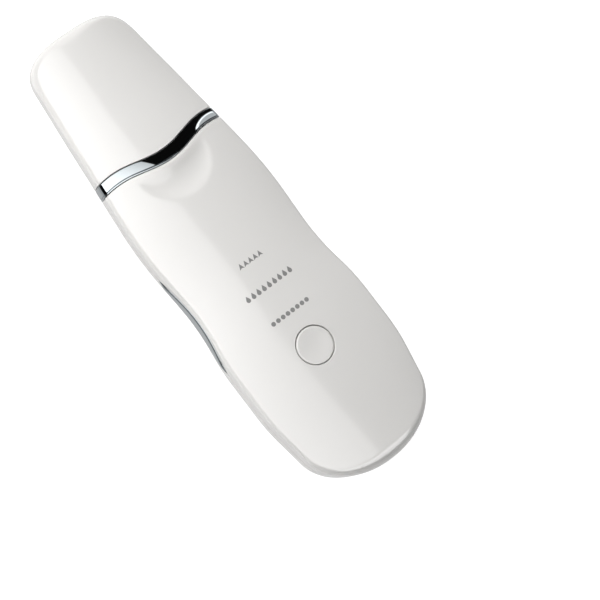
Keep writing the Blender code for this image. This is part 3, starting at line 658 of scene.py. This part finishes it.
def make_front_cover(paints):
    """The shell above the parting line, with the button's hole and half of the port's opening."""
    run = body_run()
    grids = []
    for inset in (0.0, WALL):
        o = outline_of(run, inset)
        grids.append(np.concatenate([o.front(30), o.rounding(8), o.wall(strip_rise, 5)], axis=1))
    cover = shell("front_cover_shell", grids[0], grids[1], ("start", "end", "last"))
    lip = BUTTON_RADIUS + GAP
    flare = [(lip + 0.3 * (1 - math.cos(a)), -0.3 + 0.3 * math.sin(a)) for a in arc(0, 75, 5)]
    profile = [(lip, -5.0)] + flare + [(lip + 0.9, 1.0)]
    carve(cover, turned("button_hole", profile, (0, BUTTON_Y, 0), sides=96, follow=front_z))
    carve(cover, port_cutter())
    return place(cover, "handle", paints["gloss_white"], "front_cover", "front_cover")


def port_cutter():
    """The opening of the charging port, through the covers' lower end."""
    z = centre_of("charge_port", Z)
    across, up = 4.3, 1.6
    low, high = (-across, END_Y - 3, z - up), (across, END_Y + 5, z + up)
    return rounded_box("port_cutter", low, high, 0.9)


def make_back_cover(paints):
    """The shell below the parting line, with the screw recesses and the rest of the port's opening."""
    run = body_run()
    grids = []
    for inset in (0.0, WALL):
        o = outline_of(run, inset)
        back = o.back(34, strip_drop)
        top_x, top_y = back[:, :1, X], back[:, :1, Y]
        lead = []
        for a in arc(0, 60, 2):
            shrink = SEAM_ROUND * (1 - math.sin(a)) / o.reach
            z = back[:, :1, Z] - SEAM_ROUND * (1 - math.cos(a))
            lead.append(stack(top_x * (1 - shrink), top_y, z))
        grids.append(np.concatenate(lead + [back[:, 2:]], axis=1))
    cover = shell("back_cover_shell", grids[0], grids[1], ("start", "end", "first"))
    for number in (1, 2, 3, 4):
        plug = f"screw_plug_{number}"
        recess = [(RECESS_RADIUS, -2.0), (RECESS_RADIUS, RECESS_DEPTH)]
        carve(cover, turned("screw_recess", recess, (centre_of(plug, X), centre_of(plug, Y), 0), sides=48))
    carve(cover, port_cutter())
    return place(cover, "handle", paints["gloss_white"], "back_cover", "back_cover")


def make_cap(paints):
    """The cap: front and back in one shell, open at the ring."""
    run = cap_run()
    grids = []
    for inset in (0.0, CAP_WALL):
        o = outline_of(run, inset)
        grids.append(np.concatenate([o.front(26, no_hollow), o.rounding(8), o.back(30)], axis=1))
    cap = shell("cap_shell", grids[0], grids[1], ("start", "end"))
    return place(cap, "cap", paints["gloss_white"], "cap", "cap")


def make_ring(paints):
    """A barrelled band with a fine bead on its lower side, next to the body.

    The profile is (distance along Y from the ring's middle, depth under the body's surface).
    """
    edge = 0.16
    groove = -RING_HALF + 0.62
    profile = [(RING_HALF, WALL), (RING_HALF, edge)]
    profile += [(RING_HALF - edge * (1 - math.cos(a)), edge * (1 - math.sin(a))) for a in arc(0, 90, 5)]
    barrel_high, barrel_low, barrel_rise = RING_HALF - edge, groove + 0.1, 0.045
    width, middle = barrel_high - barrel_low, (barrel_high + barrel_low) / 2
    for t in np.linspace(1, -1, 13)[1:]:
        profile.append((middle + t * width / 2, -barrel_rise * (1 - t * t)))
    bead_high, bead_depth, bead_rise = groove - 0.12, 0.10, 0.14
    profile += [(groove + 0.04, bead_depth), (groove - 0.04, 0.22), (bead_high, bead_depth)]
    bead, half = (bead_high - RING_HALF) / 2, (bead_high + RING_HALF) / 2
    for a in arc(20, 160, 6):
        profile.append((bead + half * math.cos(a), bead_depth - bead_rise * math.sin(a)))
    profile += [(-RING_HALF, 0.2), (-RING_HALF, WALL)]
    loops = [loop_at(RING_Y + dy, inset, 1.0) for dy, inset in profile]
    ring = loft("chrome_ring_band", loops, band=True, smooth_angle=50)
    return place(ring, "handle", paints["chrome"], "chrome_ring", "chrome_ring")


def make_grip_strips(paints):
    """Leaf-shaped plated strips, crowned across their width and rounded along both edges."""
    for name, side in (("grip_strip_right", 1), ("grip_strip_left", -1)):
        loops = []
        for t in np.sin(np.linspace(-1, 1, 49) * math.pi / 2) * STRIP_LENGTH_SHARE:
            y = STRIP_Y + STRIP_HALF * t
            share = strip_share(y)
            high = parting_z(y) + STRIP_UP * share - GAP / 2
            low = parting_z(y) - STRIP_DOWN * share + GAP / 2
            outer = []
            for u in (1 - np.cos(np.linspace(0, math.pi, 25))) / 2:
                z = low + (high - low) * u
                roll = min(1, min(u, 1 - u) * (high - low) / STRIP_ROLL)
                bulge = STRIP_CROWN * math.sqrt(1 - (1 - roll) ** 2) * min(1, (high - low) / 2.0)
                outer.append((side * (wall_x(y, z) - STRIP_INSET + bulge), y, z))
            inner = [(side * (wall_x(y, z) - STRIP_THICK), y, z) for z in (high, low)]
            loops.append(outer + inner)
        strip = loft(name + "_plate", loops, smooth_angle=40)
        place(strip, "handle", paints["chrome"], name, name)


def wall_x(y, z):
    """Distance of the side wall, or the back below it, from the middle at this height."""
    full, low, split = half_width(y), back_height(y), parting_z(y)
    rise = np.clip((z - low) / (split - low), 0, 1)
    share = (1 - (1 - rise) ** BACK_POWER) ** (1 / BACK_POWER)
    return full * (SOLE_SHARE + (1 - SOLE_SHARE) * share)


# ---- Button and mode marks ------------------------------------------------------------


def make_button(paints):
    """A dished cap that follows the front face, over its flange."""
    r = BUTTON_RADIUS
    stem, stem_end = 1.5, -6.6 + WALL
    flange, flange_reach = -WALL - 1.0, r + 1.1
    profile = [(stem, stem_end), (stem, flange - 0.9), (flange_reach, flange - 0.9)]
    profile += [(flange_reach, flange), (r, flange), (r, -1.2)]
    rim = -0.2  # how far the button's rim lies under the face
    for a in arc(0, 90, 7):
        profile.append((r - BUTTON_ROUND * (1 - math.cos(a)), rim - BUTTON_ROUND * (1 - math.sin(a))))
    for t in np.linspace(1, 0, 12)[1:]:
        profile.append((t * (r - BUTTON_ROUND), rim - 0.38 * (1 - t * t) ** 1.4))
    button = turned("power_button_cap", profile, (0, BUTTON_Y, 0), sides=96, follow=front_z)
    place(button, "button", paints["gloss_white"], "power_button", "power_button")


def circle(x, y, radius, start, stop, count):
    return [(x + radius * math.cos(a), y + radius * math.sin(a)) for a in arc(start, stop, count)]


def arrow(x, height):
    """A solid arrowhead that points to the cap."""
    w = 0.36 * height
    return [(x - w, -0.36 * height), (x, -0.20 * height), (x + w, -0.36 * height), (x, 0.46 * height)]


def drop(x, height):
    r = 0.30 * height
    return [(x, 0.5 * height)] + circle(x, r - 0.44 * height, r, 155, 385, 18)


def dot(x, height):
    return circle(x, -0.08 * height, 0.31 * height, 0, 342, 19)


MARKS = ((arrow, 5, 9.5), (drop, 9, 19.0), (dot, 8, 15.6))  # sign, how many, and the row's width


def make_marks(paints):
    """Three printed rows of plain signs for the modes, centred on the front."""
    ink_height = 0.02
    for number, ((sign, count, width), y0) in enumerate(zip(MARKS, MARK_ROWS), 1):
        points, faces = [], []
        pitch = (width - 0.7 * MARK_HEIGHT) / (count - 1)
        for i in range(count):
            outline = sign((i - (count - 1) / 2) * pitch, MARK_HEIGHT)
            base, n = len(points), len(outline)
            for lift in (ink_height, -ink_height):
                points += [(x, y0 + y, front_z(x, y0 + y) + lift) for x, y in outline]
            faces += [tuple(range(base, base + n)), tuple(range(base + n, base + 2 * n))]
            for k in range(n):
                m = (k + 1) % n
                faces.append((base + k, base + m, base + n + m, base + n + k))
        mark = piece(f"mode_mark_{number}", points, faces)
        place(mark, "handle", paints["ink"], "front_cover")


# ---- Neck and blade -------------------------------------------------------------------


def make_neck(paints):
    """The sleeve that the cap slides over, with a groove round it and the blade's slot in its end."""
    rear, front = corner("neck_frame", LOW, Y), corner("neck_frame", HIGH, Y)
    step, rear_inset = 33.4, 3.4
    groove = NECK_INSET + 0.6
    edge = 0.8
    outer = [(rear, rear_inset), (step, rear_inset), (step, NECK_INSET), (GRIP_LOW, NECK_INSET)]
    outer += [(GRIP_LOW, groove), (GRIP_HIGH, groove), (GRIP_HIGH, NECK_INSET)]
    for a in arc(0, 90, 6):
        outer.append((front - edge * (1 - math.sin(a)), NECK_INSET + edge * (1 - math.cos(a))))
    neck = loft("neck_sleeve", [loop_at(y, inset, 0.0) for y, inset in outer])
    hollow = [loop_at(y, NECK_INSET + 1.4, 0.0, 10, 10) for y in (step + 2.0, front - 2.4)]
    carve(neck, loft("neck_hollow", hollow))
    slot_x, slot_z = 14.6, 2.0
    low, high = (-slot_x, 46, BLADE_Z - slot_z), (slot_x, 54, BLADE_Z + slot_z)
    carve(neck, rounded_box("blade_slot", low, high, 0.8))
    place(neck, "handle", paints["matt_white"], "neck_frame", "neck_frame")


def make_grip_ring(paints):
    """The soft ring that grips the cap: flat sides and a rounded crown."""
    middle, half, crest = (GRIP_LOW + GRIP_HIGH) / 2, 0.35, 0.25
    base, top = NECK_INSET + 0.45, NECK_INSET - 0.25
    profile = [(middle - half, base), (middle - half, top + crest)]
    profile += [(middle - half * math.cos(a), top + crest * (1 - math.sin(a))) for a in arc(15, 165, 6)]
    profile += [(middle + half, top + crest), (middle + half, base)]
    ring = loft("cap_grip_band", [loop_at(y, inset, 0.0) for y, inset in profile], band=True)
    place(ring, "handle", paints["silicone"], "cap_grip_ring", "cap_grip_ring")


blade_rise = Curve((
    (40.0, 0.0), (52.0, 0.0), (61.0, 0.0), (65.0, 0.1), (68.0, 0.35), (75.0, 1.1), (82.5, 1.9),
))
blade_half = Curve((
    (40.0, 4.4), (44.5, 4.4), (47.2, 11.5), (52.0, 13.2), (70.0, 13.6), (80.0, 13.0), (82.5, 11.2),
))
BLADE_WIDEST = 13.6  # half the blade's greatest width
BLADE_TIP_Y, BLADE_TIP_HALF = 78.0, 13.2  # where the rounded tip starts, and half its width there


def make_blade(paints):
    """The bent spatula, with rounded long edges and a thinned, rounded tip."""
    start, end = corner("scrubber_blade", LOW, Y), corner("scrubber_blade", HIGH, Y)
    shank = np.linspace(start, BLADE_TIP_Y, 60)
    tip = end - 4.5 * (1 - np.sin(np.linspace(0, 1, 22) * 1.57))[1:]
    loops = []
    for y in np.concatenate([shank, tip]):
        thin = 1 - 0.72 * smoothstep((y - 74.0) / 8.5)
        half = min(blade_half(y), BLADE_WIDEST)
        if y > BLADE_TIP_Y:
            half = BLADE_TIP_HALF * (1 - ((y - BLADE_TIP_Y) / (end - BLADE_TIP_Y)) ** 3.2 * 0.16)
        t = BLADE_THICK / 2 * thin
        section = []
        for a in arc(-90, 90, 6):
            section.append((half - t + t * math.cos(a), y, t * math.sin(a)))
        for a in arc(90, 270, 6):
            section.append((-half + t + t * math.cos(a), y, t * math.sin(a)))
        loops.append([(x, yy, z + BLADE_Z + float(blade_rise(y))) for x, yy, z in section])
    blade = loft("scrubber_blade_plate", loops, smooth_angle=40)
    place(blade, "handle", paints["steel"], "scrubber_blade", "scrubber_blade")


def make_blade_seal(paints):
    """The soft boot that fills the neck's slot round the blade."""
    low, high = 47.9, 51.4
    across, up = 14.2, 1.65
    seal = rounded_box(
        "blade_seal_boot", (-across, low, BLADE_Z - up), (across, high, BLADE_Z + up), 0.7, 5
    )
    slot_x, slot_z = 13.5, BLADE_THICK / 2 + 0.12
    slot_low, slot_high = (-slot_x, low - 3, BLADE_Z - slot_z), (slot_x, high + 3, BLADE_Z + slot_z)
    carve(seal, rounded_box("seal_slot", slot_low, slot_high, 0.2))
    place(seal, "handle", paints["silicone"], "blade_seal", "blade_seal")


# ---- Carried-over nodes ---------------------------------------------------------------

# The material of every node that is not rebuilt here, by the start of the node's name.
FINISHES = {
    "turned_steel": ("transducer_bolt", "blade_screw", "board_screw", "case_screw", "charge_port"),
    "steel": ("transducer_back_mass",),
    "aluminium": ("transducer_horn",),
    "ceramic": ("piezo_ring",),
    "copper": ("electrode", "transformer_winding", "strip_contact"),
    "silicone": ("nodal_gasket", "button_gasket"),
    "pale_silicone": ("screw_plug",),
    "black": (
        "control_chip", "driver_chip", "filter_capacitor", "transformer_core", "button_switch", "port_tongue",
    ),
    "foam": ("battery_foam",),
    "pouch": ("battery_cell",),
    "red_wire": ("battery_lead_positive", "piezo_lead_front"),
    "black_wire": ("battery_lead_negative", "piezo_lead_rear"),
    "lens": ("mode_led",),
    "acrylic": ("light_guide",),
    "matt_white": ("switch_plunger", "battery_socket"),
    "board": ("main_board",),
}


def paint_nodes(paints):
    for paint, starts in FINISHES.items():
        for name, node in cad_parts.items():
            if name.startswith(starts):
                node.data.materials.clear()
                node.data.materials.append(paints[paint])
                smooth(node, 32)


# ---- Studio and camera ----------------------------------------------------------------

CAMERA_ANGLES = (16.65, -0.83, -36.91)  # turn to the left, tip and roll, in degrees
CAMERA_TARGET, CAMERA_DISTANCE = (8.92, -28.68, 12.0), 0.6  # in millimetres and in metres
CAMERA_LENS = 108.85


def add_camera():
    """Above the front face, a little to the left, and rolled."""
    turn, tip, roll = (math.radians(angle) for angle in CAMERA_ANGLES)
    away = Vector((-math.sin(turn), -math.sin(tip) * math.cos(turn), math.cos(tip) * math.cos(turn)))
    up = (Vector((0, 1, 0)) - away * away.y).normalized()
    right = up.cross(away)
    rolled_right = right * math.cos(roll) + up * math.sin(roll)
    rolled_up = up * math.cos(roll) - right * math.sin(roll)
    data = bpy.data.cameras.new("camera")
    data.lens = CAMERA_LENS
    data.sensor_width = 36.0
    data.clip_start = 0.01
    camera = bpy.data.objects.new("camera", data)
    turn_matrix = Matrix((rolled_right, rolled_up, away)).transposed().to_4x4()
    stand = Vector(CAMERA_TARGET) * MM + away * CAMERA_DISTANCE
    camera.matrix_world = Matrix.Translation(stand) @ turn_matrix
    bpy.context.scene.collection.objects.link(camera)
    bpy.context.scene.camera = camera


def panel(name, place_at, look_at, size, watts, turn=0.0, glossy=True, fade=None):
    """A rectangular studio light. glossy False keeps it out of reflections.

    turn rotates it about its own axis, and fade is its strength on its left and right edges.
    """
    data = bpy.data.lights.new(name, "AREA")
    data.shape, data.size, data.size_y = "RECTANGLE", size[0], size[1]
    data.energy = watts
    if fade:
        data.use_nodes = True
        nodes, links = data.node_tree.nodes, data.node_tree.links
        across = nodes.new("ShaderNodeSeparateXYZ")
        links.new(nodes.new("ShaderNodeNewGeometry").outputs["Parametric"], across.inputs["Vector"])
        ramp = nodes.new("ShaderNodeMapRange")
        ramp.inputs["To Min"].default_value, ramp.inputs["To Max"].default_value = fade
        links.new(across.outputs["X"], ramp.inputs["Value"])
        links.new(ramp.outputs["Result"], nodes["Emission"].inputs["Strength"])
    obj = bpy.data.objects.new(name, data)
    back = (Vector(place_at) - Vector(look_at)).normalized()
    across = Vector((0, 1, 0)).cross(back).normalized()
    along = back.cross(across)
    facing = Matrix((across, along, back)).transposed().to_4x4()
    obj.matrix_world = Matrix.Translation(place_at) @ facing @ Matrix.Rotation(math.radians(turn), 4, "Z")
    obj.visible_glossy = glossy
    obj.visible_camera = False
    bpy.context.scene.collection.objects.link(obj)
    return obj


GROUND_GLOW, SKY_GLOW = 0.68, 0.006  # brightness of the two in reflections, where 1 is paper white

# Lights are placed in metres.
DEVICE_MIDDLE = (0, -0.01, 0.01)
RING_RIGHT_TIP = (0.018, 0.0375, 0.018)
SOFTBOX_HEIGHT, SOFTBOX_SIZE, SOFTBOX_TURN = 0.75, (0.56, 1.2), 15.6
SOFTBOX_EDGE_X = 0.072  # where its right edge is, which shows as a line along the gloss
SOFTBOX_SHIFT = 0.3  # how far it is moved towards the cap


def make_stage():
    """A pale paper floor, and pale walls far behind it that only the camera sees."""
    paper = Paint("floor_paper", Roughness=0.9, Specular_IOR_Level=0.1, Emission_Strength=0.9)
    paper.shader.inputs["Emission Color"].default_value = (1, 1, 1, 1)
    paper.colours(paper.noise(3, 2), (0.30, 0.30, 0.30), (0.32, 0.32, 0.32))
    side = 3.0
    corners = (-side, -side), (side, -side), (side, side), (-side, side)
    points = [(x, y, z) for z in (0, side) for x, y in corners]
    walls = [(k, (k + 1) % 4, 4 + (k + 1) % 4, 4 + k) for k in range(4)]
    made = []
    for name, faces in (("floor", [(0, 1, 2, 3)]), ("backdrop", walls)):
        mesh = bpy.data.meshes.new(name)
        mesh.from_pydata(points, [], faces)
        mesh.materials.append(paper.material)
        obj = bpy.data.objects.new(name, mesh)
        bpy.context.scene.collection.objects.link(obj)
        obj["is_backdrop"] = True
        made.append(obj)
    floor, backdrop = made
    floor.visible_glossy = backdrop.visible_glossy = False
    backdrop.visible_diffuse = backdrop.visible_transmission = backdrop.visible_shadow = False


def oval(light, edge, inner):
    """Shapes a light into an oval with a bright edge this wide and an inner part this bright."""
    nodes, links = light.node_tree.nodes, light.node_tree.links
    middle = nodes.new("ShaderNodeVectorMath")
    middle.operation = "DISTANCE"
    middle.inputs[1].default_value = (0.5, 0.5, 0)
    links.new(nodes.new("ShaderNodeNewGeometry").outputs["Parametric"], middle.inputs[0])
    ramp = nodes.new("ShaderNodeValToRGB").color_ramp
    for at, strength in ((0.5 - edge - 0.04, inner), (0.5 - edge, 1.0), (0.47, 1.0), (0.5, 0.0)):
        ramp.elements.new(at).color = (strength, strength, strength, 1)
    ramp.elements[0].color = (inner, inner, inner, 1)
    ramp.elements[-1].color = (0, 0, 0, 1)
    links.new(middle.outputs["Value"], nodes["Color Ramp"].inputs["Fac"])
    links.new(nodes["Color Ramp"].outputs["Color"], nodes["Emission"].inputs["Strength"])


def only_on(light, thing):
    """Lets a light fall on one piece alone."""
    group = bpy.data.collections.new(light.name + "_receivers")
    group.objects.link(thing)
    light.light_linking.receiver_collection = group


def add_world():
    """A dark sky over a ground that stands in for the floor in reflections."""
    world = bpy.data.worlds.new("studio")
    world.use_nodes = True
    nodes, links = world.node_tree.nodes, world.node_tree.links
    heading = nodes.new("ShaderNodeSeparateXYZ")
    links.new(nodes.new("ShaderNodeTexCoord").outputs["Generated"], heading.inputs["Vector"])
    ground = nodes.new("ShaderNodeMapRange")
    ground.inputs["From Min"].default_value, ground.inputs["From Max"].default_value = -0.1, 0.0
    ground.inputs["To Min"].default_value, ground.inputs["To Max"].default_value = GROUND_GLOW, SKY_GLOW
    links.new(heading.outputs["Z"], ground.inputs["Value"])
    links.new(ground.outputs["Result"], nodes["Background"].inputs["Strength"])
    nodes["Background"].inputs["Color"].default_value = (1, 1, 1, 1)
    bpy.context.scene.world = world
    bpy.context.scene.view_settings.view_transform = "Standard"


def add_lights(ring):
    """A softbox over the left half, a card and a fill past the two ends, and a card for the ring."""
    lean = math.radians(SOFTBOX_TURN)
    centre = Vector((SOFTBOX_EDGE_X, 0, SOFTBOX_HEIGHT))
    centre -= Vector((math.cos(lean), math.sin(lean), 0)) * SOFTBOX_SIZE[0] / 2
    centre += Vector((-math.sin(lean), math.cos(lean), 0)) * SOFTBOX_SHIFT
    below = centre - Vector((0, 0, 1))
    panel("softbox", centre, below, SOFTBOX_SIZE, 5.1, SOFTBOX_TURN, fade=(1.36, 0.5))
    end_card = panel("end_card", (0.03, -0.66, 0.58), DEVICE_MIDDLE, (0.9, 0.55), 4.6)
    end_card.visible_diffuse = False
    ring_card = panel("ring_card", (0.643, 0.165, 0.302), RING_RIGHT_TIP, (0.46, 0.2), 0.78)
    ring_card.data.use_nodes = True
    oval(ring_card.data, 0.08, 0.36)
    only_on(ring_card, ring)
    panel("cap_end_fill", (-0.15, 1.0, 0.9), DEVICE_MIDDLE, (1.0, 1.0), 13.2, glossy=False)


def main():
    paints = make_paints()
    make_front_cover(paints)
    make_back_cover(paints)
    make_cap(paints)
    ring = make_ring(paints)
    make_grip_strips(paints)
    make_button(paints)
    make_marks(paints)
    make_neck(paints)
    make_grip_ring(paints)
    make_blade(paints)
    make_blade_seal(paints)
    paint_nodes(paints)
    add_world()
    add_lights(ring)
    make_stage()
    add_camera()


main()
for low, high in (CAD_BOX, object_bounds()):
    json.dumps([list(low), list(high)])
